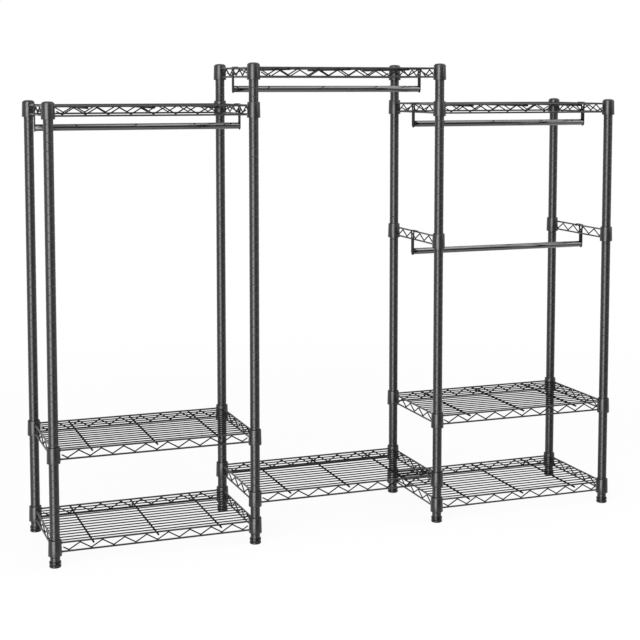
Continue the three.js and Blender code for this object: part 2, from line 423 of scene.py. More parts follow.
class MeshBench:
    """One mesh, worked with Blender's own tools."""

    def __init__(self, name: str) -> None:
        """Take up the object that was just added and go into edit mode.

        Args:
            name: Name that it gets.
        """
        self.object = bpy.context.object
        self.object.name = name
        self.object.data.name = name
        bpy.ops.object.transform_apply(location=True, rotation=True, scale=True)
        bpy.ops.object.mode_set(mode="EDIT")

    def release(self) -> Self:
        """Merge doubled corners, turn the faces outwards and leave edit mode.

        Returns:
            The same piece.
        """
        bpy.ops.mesh.select_all(action="SELECT")
        bpy.ops.mesh.remove_doubles(threshold=MERGE_DISTANCE)
        bpy.ops.mesh.normals_make_consistent(inside=False)
        bpy.ops.object.mode_set(mode="OBJECT")
        return self

    def modify(self, kind: str, **settings: float | str | Sequence[float]) -> Self:
        """Put a modifier on the object and apply it.

        Args:
            kind: Type of the modifier.
            settings: Its settings by name.

        Returns:
            The same piece.
        """
        select_only(self.object)
        modifier = self.object.modifiers.new(kind, kind)
        for name, value in settings.items():
            setattr(modifier, name, value)
        bpy.ops.object.modifier_apply(modifier=modifier.name)
        return self

    def soften(self, width: float, segments: int = 2, sharper_than: float = 40) -> Self:
        """Round the sharp edges.

        Args:
            width: Width of the rounding.
            segments: Faces across it.
            sharper_than: Edges that turn by more than this many degrees are rounded.

        Returns:
            The same piece.
        """
        angle = math.radians(sharper_than)
        settings = {"limit_method": "ANGLE", "angle_limit": angle}
        return self.modify("BEVEL", width=width, segments=segments, **settings)

    def smooth(self, sharp_from: float = 32) -> bpy.types.Object:
        """Shade the piece smooth, with edges kept sharp past an angle.

        Args:
            sharp_from: That angle in degrees.

        Returns:
            The finished object.
        """
        select_only(self.object)
        bpy.ops.object.shade_smooth_by_angle(angle=math.radians(sharp_from))
        return self.object


class Workpiece(MeshBench):
    """A piece that starts from a disc or a ring, whose open end is what is worked on."""

    def __init__(
        self, name: str, diameter: float, sides: int, centre: Vector, facing: Vector, ends: Ends
    ) -> None:
        """Lay down the disc or ring.

        Args:
            name: Name of the object.
            diameter: Diameter of the round.
            sides: Number of its corners.
            centre: Where its middle lies.
            facing: Direction that it looks along.
            ends: A filled disc for a capped piece, a bare ring for a hollow one.
        """
        select_only()
        bpy.ops.mesh.primitive_circle_add(
            vertices=sides,
            radius=diameter / 2,
            fill_type="NGON" if ends is Ends.CAPPED else "NOTHING",
            location=centre,
            rotation=facing.to_track_quat("Z", "Y").to_euler(),
        )
        super().__init__(name)
        bpy.ops.mesh.select_mode(type="FACE" if ends is Ends.CAPPED else "EDGE")
        bpy.ops.mesh.select_all(action="SELECT")
        self.place = centre.copy()
        self.facing = facing.normalized()

    def push(self, length: float) -> None:
        """Extrude the open end straight ahead.

        Args:
            length: How far it goes. Below 0 it goes back.
        """
        step = self.facing * length
        bpy.ops.mesh.extrude_region_move(TRANSFORM_OT_translate={"value": step})
        self.place += step

    def swell(self, ratio: float) -> Self:
        """Scale the open end about its middle, to this ratio of its diameter."""
        bpy.ops.transform.resize(value=(ratio, ratio, ratio))
        return self

    def draw(self, *steps: tuple[float, float]) -> None:
        """Push the open end step by step and swell it after each.

        Args:
            steps: Length of each step, and the new diameter over the old one.
        """
        for length, ratio in steps:
            self.push(length)
            if ratio != 1:
                self.swell(ratio)

    def turn(self, angle: float, radius: float, side: Vector, steps: int) -> None:
        """Bend the wire round a former.

        Args:
            angle: How far it turns.
            radius: Bend radius of the centre line.
            side: Direction from the wire towards the former's middle.
            steps: Number of short lengths in the bend.
        """
        axis = self.facing.cross(side).normalized()
        centre = self.place + side.normalized() * radius
        bpy.ops.mesh.spin(steps=steps, angle=-angle, center=centre, axis=axis, dupli=False)
        rotation = Quaternion(axis, angle)
        self.place = centre + rotation @ (self.place - centre)
        self.facing = (rotation @ self.facing).normalized()

    def cut(self, point: Vector, facing: Vector, fill: bool) -> None:
        """Saw through at a point, drop what lies ahead and fill the cut or leave it open."""
        bpy.ops.mesh.select_all(action="SELECT")
        bpy.ops.mesh.bisect(plane_co=point, plane_no=facing, clear_outer=True, use_fill=fill)


class Sheet(MeshBench):
    """A flat sheet, square to X, which is worked by the edges that are grabbed."""

    def __init__(self, name: str, low: Vector, high: Vector) -> None:
        """Lay down a rectangle.

        Args:
            name: Name of the object.
            low: Its corner with the smallest Y and Z.
            high: The opposite corner.
        """
        select_only()
        bpy.ops.mesh.primitive_plane_add(
            size=1, location=(low + high) / 2, rotation=(0, math.pi / 2, 0)
        )
        bpy.context.object.scale = (high.z - low.z, high.y - low.y, 1)
        super().__init__(name)

    def grab(self, low: Sequence[float], high: Sequence[float]) -> Self:
        """Box-select the edges between two corners.

        Args:
            low: The smallest Y and Z.
            high: The largest ones.

        Returns:
            The same piece.
        """
        bpy.ops.mesh.select_mode(type="VERT")
        bpy.ops.mesh.select_all(action="DESELECT")
        bpy.ops.object.mode_set(mode="OBJECT")
        for corner in self.object.data.vertices:
            place = zip(low, corner.co.yz, high)
            corner.select = all(a - MERGE_DISTANCE <= c <= b + MERGE_DISTANCE for a, c, b in place)
        bpy.ops.object.mode_set(mode="EDIT")
        bpy.ops.mesh.select_mode(type="EDGE")
        return self

    def pull(self, step: Vector, ratio: float = 1) -> None:
        """Extrude the grabbed edges.

        Args:
            step: How far they go.
            ratio: How much wider they get along Y.
        """
        bpy.ops.mesh.extrude_region_move(TRANSFORM_OT_translate={"value": step})
        if ratio != 1:
            bpy.ops.transform.resize(value=(1, ratio, 1))

    def roll(self, angle: float, centre: Vector, axis: Vector, steps: int) -> None:
        """Sweep the grabbed edges round a line through a point, by the right-hand rule."""
        bpy.ops.mesh.spin(steps=steps, angle=-angle, center=centre, axis=axis, dupli=False)

    def mirrored(self) -> Self:
        """Release the sheet and add the half on the other side of Y = 0."""
        sides = (False, True, False)
        return self.release().modify("MIRROR", use_axis=sides, merge_threshold=MERGE_DISTANCE)

    def thickened(self, thickness: float, rounding: float) -> bpy.types.Object:
        """Give the sheet its thickness, with rounded edges.

        Args:
            thickness: Thickness, half of it on each side.
            rounding: Width of the rounding along the edges.

        Returns:
            The finished object.
        """
        self.modify("SOLIDIFY", thickness=thickness, offset=0, use_even_offset=True)
        self.soften(rounding, sharper_than=50)
        bpy.ops.object.mode_set(mode="EDIT")
        return self.release().smooth()


def turned(
    name: str, outline: Sequence[tuple[float, float]], sides: int, ends: Ends
) -> Workpiece:
    """Shape a round piece about Z by pushing and swelling its open end along an outline.

    Args:
        name: Name of the object.
        outline: Pairs of diameter and height. A hollow piece goes back to its first pair.
        sides: Number of corners round it.
        ends: Whether the piece is closed by end faces or is hollow right through.

    Returns:
        The released workpiece.
    """
    diameter, height = outline[0]
    work = Workpiece(name, diameter, sides, Z_AXIS * height, Z_AXIS, ends)
    course = [*outline, outline[0]] if ends is Ends.HOLLOW else outline
    for (last_wide, last_high), (wide, high) in zip(course, course[1:]):
        work.draw((high - last_high, wide / last_wide))
    return work.release()


def copy_of(pattern: bpy.types.Object, name: str, place: Matrix) -> bpy.types.Object:
    """Copy a pattern piece with its own mesh, put in its place.

    Args:
        pattern: The piece to copy.
        name: Name of the copy.
        place: Where it goes from the pattern's place.

    Returns:
        The copy, with its object at the origin.
    """
    mesh = pattern.data.copy()
    mesh.name = name
    mesh.transform(place)
    copy = bpy.data.objects.new(name, mesh)
    bpy.context.scene.collection.objects.link(copy)
    return copy


def clear_patterns(patterns: Sequence[bpy.types.Object]) -> None:
    """Take pattern pieces off the bench."""
    for pattern in patterns:
        bpy.data.meshes.remove(pattern.data)


def assembled(
    name: str, *groups: tuple[Sequence[bpy.types.Object], Sequence[Matrix]]
) -> bpy.types.Object:
    """Copy patterns to their places, join the copies into one piece and drop the patterns.

    Args:
        name: Name of the piece.
        groups: Patterns, and the places at each of which all of them get a copy.

    Returns:
        The joined object.
    """
    parts = []
    for patterns, places in groups:
        parts += [copy_of(pattern, name, place) for pattern in patterns for place in places]
        clear_patterns(patterns)
    select_only(*parts)
    bpy.ops.object.join()
    return parts[0]


def shift(x: float = 0, y: float = 0, z: float = 0) -> Matrix:
    """Return a move by these distances."""
    return Matrix.Translation((x, y, z))


def spun(degrees: float, axis: str = "Z") -> Matrix:
    """Return a turn about an axis through the origin."""
    return Matrix.Rotation(math.radians(degrees), 4, axis)


def bend_angle(rise: float, run: float, radius: float) -> float:
    """Return a zigzag wire's slope in radians, by the rise, run and radius of its bends."""
    across = rise - 2 * radius
    return math.acos(-2 * radius / math.hypot(across, run)) - math.atan2(run, across)


# The frame


class RackFrame:
    """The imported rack: where each CAD node stands and which body carries it."""

    def __init__(self) -> None:
        """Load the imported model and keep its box."""
        self.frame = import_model()
        self.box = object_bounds()

    def names(self, kind: str) -> list[str]:
        """Return the names of the nodes that start with a word, such as post, in order."""
        return sorted(name for name in self.frame["nodes"] if name.startswith(f"{kind}_"))

    def foot(self, node: str) -> Vector:
        """Return the middle of a node's lowest level."""
        low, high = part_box(node)
        return Vector(((low.x + high.x) / 2, (low.y + high.y) / 2, low.z))

    def middle(self, node: str) -> Vector:
        """Return the middle of a node's box."""
        low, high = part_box(node)
        return (low + high) / 2

    def size(self, node: str) -> Vector:
        """Return how far a node reaches along each axis."""
        low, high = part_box(node)
        return high - low

    def bay_width(self) -> float:
        """Return the distance between neighbouring post axes along X."""
        return self.foot("post_2_front").x - self.foot("post_1_front").x

    def bay_depth(self) -> float:
        """Return the distance between the front and rear post axes."""
        return self.foot("post_1_rear").y - self.foot("post_1_front").y

    def stand(
        self, pattern: bpy.types.Object, name: str, place: Matrix, node: str, finish: Finish
    ) -> None:
        """Copy a pattern to its place, dress it and put it on the body that carries its node.

        Args:
            pattern: The piece to copy.
            name: Name of the copy.
            place: Where it goes from the pattern's place.
            node: CAD node that it stands for.
            finish: Its finish.
        """
        piece = copy_of(pattern, name, place)
        dress(piece, finish)
        body = self.frame["nodes"][node]["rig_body"]
        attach(piece, body)
        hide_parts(node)
        LOG.info("%s rides on %s", name, body)


# Posts


@dataclass(frozen=True)
class PostKit:
    """Grooved steel post with its cap, threaded insert, split sleeves and levelling foot."""

    rack: RackFrame
    diameter: float = 0.0288
    wall: float = 0.0012
    groove_pitch: float = 0.0254
    groove_width: float = 0.0024
    groove_depth: float = 0.00055
    groove_border: float = 0.0012
    cap_lip: float = 0.0008
    cap_dome: float = 0.0034
    cap_stem: float = 0.012
    stem_gap: float = 0.0003
    insert_length: float = 0.018
    stud_diameter: float = 0.008
    stud_length: float = 0.015
    thread_pitch: float = 0.00125
    thread_depth: float = 0.0006
    fitting_rounding: float = 0.0002
    foot_diameter: float = 0.0345
    foot_height: float = 0.017
    foot_groove_depth: float = 0.0016
    foot_groove_width: float = 0.005
    foot_rounding: float = 0.0006
    sleeve_height: float = 0.043
    sleeve_top_diameter: float = 0.032
    sleeve_bottom_diameter: float = 0.0344
    sleeve_gap: float = 0.00008
    sleeve_split: float = 0.0008
    sleeve_rounding: float = 0.0003
    dome_steps: int = 6
    sides: int = 40
    length_digits: int = 5

    @property
    def bore(self) -> float:
        """Return the inner diameter of the tube."""
        return self.diameter - 2 * self.wall

    def tube(self, length: float) -> bpy.types.Object:
        """Model a post from its foot at height 0: one groove pitch, repeated, cut and walled.

        Args:
            length: Length of the tube.

        Returns:
            The pattern piece.
        """
        waist = self.diameter - 2 * self.groove_depth
        plain = (self.groove_pitch - self.groove_width) / 2 - self.groove_border
        border, shoulder = self.groove_border, self.groove_width / 3
        work = Workpiece("post_tube", self.diameter, self.sides, Vector(), Z_AXIS, Ends.HOLLOW)
        work.draw((plain, 1), (border, 1), (shoulder, waist / self.diameter), (shoulder, 1))
        work.draw((shoulder, self.diameter / waist), (border, 1), (plain, 1))
        bpy.ops.object.mode_set(mode="OBJECT")
        work.modify(
            "ARRAY",
            count=math.ceil(length / self.groove_pitch),
            use_relative_offset=False,
            use_constant_offset=True,
            constant_offset_displace=(0, 0, self.groove_pitch),
            use_merge_vertices=True,
            merge_threshold=MERGE_DISTANCE,
        )
        bpy.ops.object.mode_set(mode="EDIT")
        work.cut(Z_AXIS * length, Z_AXIS, fill=False)
        bpy.ops.mesh.select_mode(type="EDGE")
        work.draw((0, self.bore / self.diameter), (-length, 1), (0, self.diameter / self.bore))
        return work.release().soften(self.wall / 5, segments=1, sharper_than=60).smooth()

    def cap(self) -> bpy.types.Object:
        """Model a domed cap, with the tube's end at height 0.

        Returns:
            The pattern piece.
        """
        stem = self.bore - 2 * self.stem_gap
        crown = self.sleeve_top_diameter
        rim = self.stem_gap + self.cap_lip
        outline = [
            (stem - 2 * self.stem_gap, -self.cap_stem),
            (stem, self.cap_lip - self.cap_stem),
            (stem, self.stem_gap),
            (crown, self.stem_gap),
            (crown, rim),
        ]
        for step in range(1, self.dome_steps):
            angle = step / self.dome_steps * math.pi / 2
            outline.append((crown * math.cos(angle), rim + self.cap_dome * math.sin(angle)))
        outline.append((outline[-1][0] / 2, rim + self.cap_dome))
        cap = turned("post_cap", outline, self.sides, Ends.CAPPED)
        return cap.soften(self.fitting_rounding, sharper_than=50).smooth(sharp_from=40)

    def insert(self) -> bpy.types.Object:
        """Model the threaded insert in the tube's lower end, from height 0 up.

        Returns:
            The pattern piece.
        """
        outer = self.bore - 2 * self.stem_gap
        hole = self.stud_diameter + 2 * self.stem_gap
        waist = outer - 4 * self.stem_gap
        third = self.insert_length / 3
        outline = [
            (hole, 0),
            (outer, 0),
            (outer, third),
            (waist, third + self.stem_gap),
            (waist, 2 * third - self.stem_gap),
            (outer, 2 * third),
            (outer, self.insert_length),
            (hole, self.insert_length),
        ]
        insert = turned("post_insert", outline, self.sides, Ends.HOLLOW)
        return insert.soften(self.fitting_rounding).smooth()

    def foot(self) -> bpy.types.Object:
        """Model the levelling foot with its groove and threaded stud, from the floor up.

        Returns:
            The pattern piece.
        """
        middle, half = self.foot_height / 2, self.foot_groove_width / 2
        waist = self.foot_diameter - 2 * self.foot_groove_depth
        root = self.stud_diameter - 2 * self.thread_depth
        outline = [
            (waist, 0),
            (self.foot_diameter, self.foot_groove_depth),
            (self.foot_diameter, middle - half),
            (waist, middle - half / 3),
            (waist, middle + half / 3),
            (self.foot_diameter, middle + half),
            (self.foot_diameter, self.foot_height),
            (self.stud_diameter, self.foot_height),
        ]
        for turn in range(int(self.stud_length / self.thread_pitch)):
            base = self.foot_height + turn * self.thread_pitch
            outline.append((root, base + self.thread_pitch / 2))
            outline.append((self.stud_diameter, base + self.thread_pitch))
        foot = turned("post_foot", outline, self.sides, Ends.CAPPED)
        return foot.soften(self.foot_rounding, 3, sharper_than=62).smooth(sharp_from=40)

    def sleeve(self) -> bpy.types.Object:
        """Model the tapered sleeve from its foot at height 0, as two clipped halves.

        Returns:
            The pattern piece.
        """
        inner = self.diameter + 2 * self.sleeve_gap
        outline = [
            (inner, 0),
            (self.sleeve_bottom_diameter, 0),
            (self.sleeve_top_diameter, self.sleeve_height),
            (inner, self.sleeve_height),
        ]
        work = turned("sleeve_half", outline, self.sides, Ends.HOLLOW)
        bpy.ops.object.mode_set(mode="EDIT")
        work.cut(Y_AXIS * -self.sleeve_split / 2, Y_AXIS, fill=True)
        half = work.release().soften(self.sleeve_rounding, sharper_than=50).smooth()
        return assembled("split_sleeve", ([half], [spun(0), spun(180)]))

    def collared_nodes(self, post: str) -> list[str]:
        """Return the names of the shelves and side frames with a collar on a post."""
        axis, names = self.rack.foot(post).x, self.rack.names("shelf") + self.rack.names("side")
        return [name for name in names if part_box(name)[0].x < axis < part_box(name)[1].x]

    def build(self) -> None:
        """Model each kind of piece once and stand the copies on the frame."""
        fittings = {
            "cap": (self.cap(), CAP_PLASTIC),
            "insert": (self.insert(), ZINC),
            "foot": (self.foot(), FOOT_PLASTIC),
        }
        sleeve = self.sleeve()
        tubes: dict[float, bpy.types.Object] = {}
        for post in self.rack.names("post"):
            x, y, bottom = self.rack.foot(post)
            length = round(self.rack.size(post).z, self.length_digits)
            if length not in tubes:
                tubes[length] = self.tube(length)
            self.rack.stand(tubes[length], f"tube_{post}", shift(x, y, bottom), post, TUBE_STEEL)
            for node in self.collared_nodes(post):
                place = shift(x, y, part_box(node)[0].z)
                self.rack.stand(sleeve, f"sleeve_{post}_{node}", place, post, SLEEVE_PLASTIC)
            levels = {"cap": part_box(post)[1].z, "insert": bottom, "foot": 0}
            for kind, (pattern, finish) in fittings.items():
                node, place = post.replace("post", kind), shift(x, y, levels[kind])
                self.rack.stand(pattern, f"dressed_{node}", place, node, finish)
        clear_patterns([sleeve, *(pattern for pattern, _ in fittings.values()), *tubes.values()])


# Trusses, shelves and side frames


@dataclass(frozen=True)
class Zigzag:
    """Bends of a truss wire: the number of lower ones, and where the first one stands."""

    feet: int
    start: float


@dataclass(frozen=True)
class TrussKit:
    """Wire trusses and tapered collars, from the collars' lower edge at height 0."""

    rack: RackFrame
    collar_height: float = 0.0465
    collar_top_diameter: float = 0.0375
    collar_bottom_diameter: float = 0.040
    bore_top_diameter: float = 0.0326
    bore_bottom_diameter: float = 0.035
    collar_rounding: float = 0.0009
    rim_diameter: float = 0.0054
    top_rim_drop: float = 0.0105
    rim_spacing: float = 0.0265
    zigzag_diameter: float = 0.0038
    zigzag_bend_radius: float = 0.0036
    front_zigzag: Zigzag = Zigzag(feet=9, start=0.040)
    side_zigzag: Zigzag = Zigzag(feet=5, start=0.041)
    weld_depth: float = 0.0004
    fillet_run: float = 0.0018
    fillet_swell: float = 1.45
    collar_sides: int = 48
    rim_sides: int = 16
    thin_sides: int = 12
    bend_steps: int = 5

    @property
    def top_rim(self) -> float:
        """Return the height of the upper rim's centre line."""
        return self.collar_height - self.top_rim_drop

    @property
    def bottom_rim(self) -> float:
        """Return the height of the lower rim's centre line."""
        return self.top_rim - self.rim_spacing

    @property
    def rim_inset(self) -> float:
        """Return how far from the post's axis a rim ends, in the middle of the collar's wall."""
        return (self.bore_bottom_diameter + self.collar_top_diameter) / 4

    def collar(self) -> bpy.types.Object:
        """Model the tapered collar with its rolled edges.

        Returns:
            The pattern piece.
        """
        outline = [
            (self.bore_bottom_diameter, 0),
            (self.collar_bottom_diameter, 0),
            (self.collar_top_diameter, self.collar_height),
            (self.bore_top_diameter, self.collar_height),
        ]
        work = turned("collar", outline, self.collar_sides, Ends.HOLLOW)
        return work.soften(self.collar_rounding, 3, sharper_than=50).smooth()

    def rim(self, length: float, height: float) -> bpy.types.Object:
        """Model a rim wire along X, with a weld fillet where it meets each collar.

        Args:
            length: Distance between the post axes.
            height: Height of its centre line.

        Returns:
            The piece.
        """
        reach = length / 2 - self.rim_inset
        skin = self.collar_bottom_diameter / 2 - self.rim_inset
        wide = self.rim_diameter * self.fillet_swell
        neck = (1 + 1 / self.fillet_swell) / 2
        thin = self.rim_diameter / (wide * neck)
        run = self.fillet_run
        start = Vector((-reach, 0, height))
        work = Workpiece("rim", wide, self.rim_sides, start, X_AXIS, Ends.CAPPED)
        work.draw((skin, 1), (run / 3, neck), (run, thin))
        work.draw((2 * (reach - skin - run * 4 / 3), 1))
        work.draw((run, 1 / thin), (run / 3, 1 / neck), (skin, 1))
        return work.release().smooth(sharp_from=50)

    def zigzag(self, length: float, bends: Zigzag) -> bpy.types.Object:
        """Bend a truss wire along X between the rims. Its two ends stop free at half height.

        Args:
            length: Distance between the post axes.
            bends: Its number of bends and where they start.

        Returns:
            The piece.
        """
        touch = (self.rim_diameter + self.zigzag_diameter) / 2 - self.weld_depth
        rise = self.rim_spacing - 2 * touch
        run = (length - 2 * bends.start) / (2 * (bends.feet - 1))
        radius = self.zigzag_bend_radius
        slope = bend_angle(rise, run, radius)
        straight = (run - 2 * radius * math.sin(slope)) / math.cos(slope)
        middle = (self.top_rim + self.bottom_rim) / 2
        start = Vector((bends.start - run / 2 - length / 2, 0, middle))
        heading = Vector((math.cos(slope), 0, -math.sin(slope)))
        sides = self.thin_sides
        wire = Workpiece("zigzag", self.zigzag_diameter, sides, start, heading, Ends.CAPPED)
        wire.push(straight / 2)
        for bend in range(2 * bends.feet - 1):
            turn_up = 1 if bend % 2 == 0 else -1
            side = wire.facing.cross(Y_AXIS) * turn_up
            wire.turn(2 * slope, radius, side, self.bend_steps)
            wire.push(straight / 2 if bend == 2 * bends.feet - 2 else straight)
        return wire.release().smooth(sharp_from=50)

    def rims(self, length: float) -> list[bpy.types.Object]:
        """Model the lower and the upper rim of a truss."""
        return [self.rim(length, self.bottom_rim), self.rim(length, self.top_rim)]

    def stand(self, patterns: dict[str, bpy.types.Object], kind: str) -> None:
        """Put copies of the pieces on every node of one kind and take the patterns away.

        Args:
            patterns: The pieces by what they are, about the middle of the node's foot.
            kind: First word of the nodes' names.
        """
        for node in self.rack.names(kind):
            place = Matrix.Translation(self.rack.foot(node))
            for part, pattern in patterns.items():
                finish = TRUSS_FINISHES.get(part, WIRE_STEEL)
                self.rack.stand(pattern, f"{node}_{part}", place, node, finish)
        clear_patterns(list(patterns.values()))


@dataclass(frozen=True)
class SideFrames:
    """Two side trusses with their collars, which carry the lower rail of the right bay."""

    rack: RackFrame
    truss: TrussKit

    def build(self) -> None:
        """Model the side truss once and put it on each side frame."""
        truss, depth = self.truss, self.rack.bay_depth()
        ends = [shift(y=side * depth / 2) for side in SIDES_OF_PAIR]
        zigzag = truss.zigzag(depth, truss.side_zigzag)
        patterns = {
            "collars": assembled("side_collars", ([truss.collar()], ends)),
            "rims": assembled("side_rims", (truss.rims(depth), [spun(90)])),
            "zigzag": assembled("side_zigzag", ([zigzag], [spun(90)])),
        }
        truss.stand(patterns, "side")


@dataclass(frozen=True)
class WireShelves:
    """Wire shelves: four collars, four trusses, and a mat of thin wires on three cross wires."""

    rack: RackFrame
    truss: TrussKit
    mat_diameter: float = 0.0038
    mat_count: int = 13
    mat_drop: float = 0.0008
    cross_diameter: float = 0.0054
    cross_overhang: float = 0.009
    cross_chamfer: float = 0.0005
    cross_place_shares: tuple[float, ...] = (-0.318, 0, 0.318)
    mat_sides: int = 10

    def mat(self) -> bpy.types.Object:
        """Model the mat's wires along X, welded between the side rims.

        Returns:
            The mat as one piece.
        """
        reach = (self.rack.bay_width() - self.truss.rim_diameter) / 2 + self.truss.weld_depth
        swell, half_fillet = self.truss.fillet_swell, self.truss.fillet_run / 2
        start = Vector((-reach, 0, self.truss.top_rim - self.mat_drop))
        wire = Workpiece("mat_wire", self.mat_diameter, self.mat_sides, start, X_AXIS, Ends.CAPPED)
        wire.swell(swell).draw((half_fillet, 1), (half_fillet, 1 / swell))
        wire.draw((2 * (reach - 2 * half_fillet), 1), (half_fillet, swell), (half_fillet, 1))
        pattern = wire.release().smooth(sharp_from=50)
        spacing = self.rack.bay_depth() / (self.mat_count + 1)
        first = spacing - self.rack.bay_depth() / 2
        places = [shift(y=first + number * spacing) for number in range(self.mat_count)]
        return assembled("mat", ([pattern], places))

    def cross_wire(self) -> bpy.types.Object:
        """Model one cross wire along Y. It runs under the rims and stands out in front and behind.

        Returns:
            The piece.
        """
        level = (self.truss.rim_diameter + self.cross_diameter) / 2 - self.truss.weld_depth
        reach = (self.rack.bay_depth() + self.truss.rim_diameter) / 2 + self.cross_overhang
        start = Vector((0, -reach, self.truss.top_rim - level))
        sides, chamfer = self.truss.thin_sides, self.cross_chamfer
        wire = Workpiece("cross_wire", self.cross_diameter, sides, start, Y_AXIS, Ends.CAPPED)
        ratio = 1 - 2 * chamfer / self.cross_diameter
        wire.swell(ratio).draw((chamfer, 1 / ratio), (2 * (reach - chamfer), 1), (chamfer, ratio))
        return wire.release().smooth(sharp_from=50)

    def build(self) -> None:
        """Model one shelf about the middle of its bay and put it on every shelf of the frame."""
        truss, width, depth = self.truss, self.rack.bay_width(), self.rack.bay_depth()
        along = [shift(y=side * depth / 2) for side in SIDES_OF_PAIR]
        across = [shift(x=side * width / 2) @ spun(90) for side in SIDES_OF_PAIR]
        corners = [shift(x=side * width / 2) @ place for side in SIDES_OF_PAIR for place in along]
        crosses = [shift(x=share * width) for share in self.cross_place_shares]
        long_zigzag = truss.zigzag(width, truss.front_zigzag)
        side_zigzag = truss.zigzag(depth, truss.side_zigzag)
        patterns = {
            "collars": assembled("collars", ([truss.collar()], corners)),
            "rims": assembled("rims", (truss.rims(width), along), (truss.rims(depth), across)),
            "zigzags": assembled("zigzags", ([long_zigzag], along), ([side_zigzag], across)),
            "mat": self.mat(),
            "cross_wires": assembled("cross_wires", ([self.cross_wire()], crosses)),
        }
        truss.stand(patterns, "shelf")


# Rails


@dataclass(frozen=True)
class HangingRails:
    """Hanging rods on the spigots of forked strip hangers, which hook over the side trusses."""

    rack: RackFrame
    truss: TrussKit
    rod_diameter: float = 0.020
    rod_wall: float = 0.0012
    rod_drop: float = 0.028
    hanger_thickness: float = 0.0016
    hanger_width: float = 0.021
    hanger_offset: float = 0.010
    end_drop: float = 0.002
    fork_width: float = 0.026
    slot_top_width: float = 0.012
    slot_floor_width: float = 0.003
    slot_rise: float = 0.0054
    tip_length: float = 0.004
    tip_taper: float = 0.7
    hook_reach: float = 0.00349
    hook_radius: float = 0.0024
    edge_rounding: float = 0.00022
    spigot_length: float = 0.008
    gap: float = 0.0003
    rod_sides: int = 40
    round_steps: int = 8
    hook_steps: int = 5

    def rod(self, length: float) -> bpy.types.Object:
        """Model the rod's tube along X about its middle.

        Args:
            length: Length of the tube.

        Returns:
            The pattern piece.
        """
        bore = self.rod_diameter - 2 * self.rod_wall
        outline = [
            (bore, -length / 2),
            (self.rod_diameter, -length / 2),
            (self.rod_diameter, length / 2),
            (bore, length / 2),
        ]
        work = turned("rod", outline, self.rod_sides, Ends.HOLLOW)
        rod = work.soften(self.rod_wall / 4, sharper_than=50).smooth()
        rod.data.transform(spun(90, "Y"))
        return rod

    def strip(self) -> bpy.types.Object:
        """Cut and bend a hanger from strip, with a round end, a V-shaped slot and two hooks.

        Returns:
            The piece, from the collar's lower edge at height 0, outside towards -X.
        """
        offset, radius = -self.hanger_offset, self.hook_radius
        end = -self.rod_drop - self.end_drop
        floor = self.truss.bottom_rim + self.slot_rise
        bend = self.truss.top_rim + self.hook_reach - radius
        inner, outer = self.slot_floor_width / 2, self.hanger_width / 2
        work = Sheet("hanger_strip", Vector((offset, 0, end)), Vector((offset, inner, floor)))
        work.grab((inner, end), (inner, floor)).pull(Y_AXIS * (outer - inner))
        work.grab((0, end), (outer, end))
        work.roll(-math.pi / 2, Vector((0, 0, end)), X_AXIS, self.round_steps)
        prong = (self.fork_width - self.slot_top_width) / 2
        lean = (self.fork_width + self.slot_top_width) / 4 - (inner + outer) / 2
        work.grab((inner, floor), (outer, floor))
        work.pull(Vector((0, lean, bend - floor)), prong / (outer - inner))
        work.roll(math.pi / 2, Vector((offset + radius, 0, bend)), Y_AXIS, self.hook_steps)
        work.pull(X_AXIS * (self.hook_reach - radius - offset - radius))
        former = Vector((self.hook_reach - radius, 0, bend))
        work.roll(math.pi / 2, former, Y_AXIS, self.hook_steps)
        work.pull(Z_AXIS * (self.truss.top_rim - self.tip_length * 3 / 4 - bend))
        work.pull(Z_AXIS * -self.tip_length / 4, self.tip_taper)
        return work.mirrored().thickened(self.hanger_thickness, self.edge_rounding)

    def spigot(self) -> bpy.types.Object:
        """Model the peg that carries the rod's end, about the truss plane and the rod's axis.

        Returns:
            The piece, with its free end towards +X.
        """
        diameter = self.rod_diameter - 2 * self.rod_wall - 2 * self.gap
        start = -self.hanger_offset
        end = start + self.hanger_thickness / 2 + self.spigot_length
        work = turned("spigot", [(diameter, start), (diameter, end)], self.rod_sides, Ends.CAPPED)
        spigot = work.soften(self.gap, sharper_than=50).smooth()
        spigot.data.transform(spun(90, "Y"))
        return spigot

    def build(self) -> None:
        """Model the rod and a hanger once and put the copies on the frame."""
        rods = self.rack.names("rod")
        rod = self.rod(self.rack.size(rods[0]).x)
        strip, spigot = self.strip(), self.spigot()
        for name in rods:
            middle = self.rack.middle(name)
            self.rack.stand(rod, f"dressed_{name}", Matrix.Translation(middle), name, ROD)
            for end, side in (("left", -1), ("right", 1)):
                node = f"{name.replace('rod', 'hanger')}_{end}"
                plane = Matrix.Translation(middle + X_AXIS * side * self.rack.bay_width() / 2)
                place = plane @ spun(0 if side < 0 else 180)
                hung = place @ shift(z=self.rod_drop)
                self.rack.stand(spigot, f"{node}_spigot", place, node, WIRE_STEEL)
                self.rack.stand(strip, f"{node}_strip", hung, node, WIRE_STEEL)
        clear_patterns([rod, strip, spigot])


# Studio


@dataclass(frozen=True)
class SoftLamp:
    """One large rectangular lamp of the studio."""

    name: str
    place: tuple[float, float, float]
    width: float
    height: float
    power: float

    def hang(self, target: Vector) -> None:
        """Hang the lamp and turn it to the object.

        Args:
            target: Point that it lights.
        """
        light = bpy.data.lights.new(self.name, "AREA")
        light.shape = "RECTANGLE"
        light.size = self.width
        light.size_y = self.height
        light.energy = self.power
        lamp = bpy.data.objects.new(self.name, light)
        lamp.location = self.place
        lamp.rotation_euler = (target - lamp.location).to_track_quat("-Z", "Y").to_euler()
        bpy.context.scene.collection.objects.link(lamp)


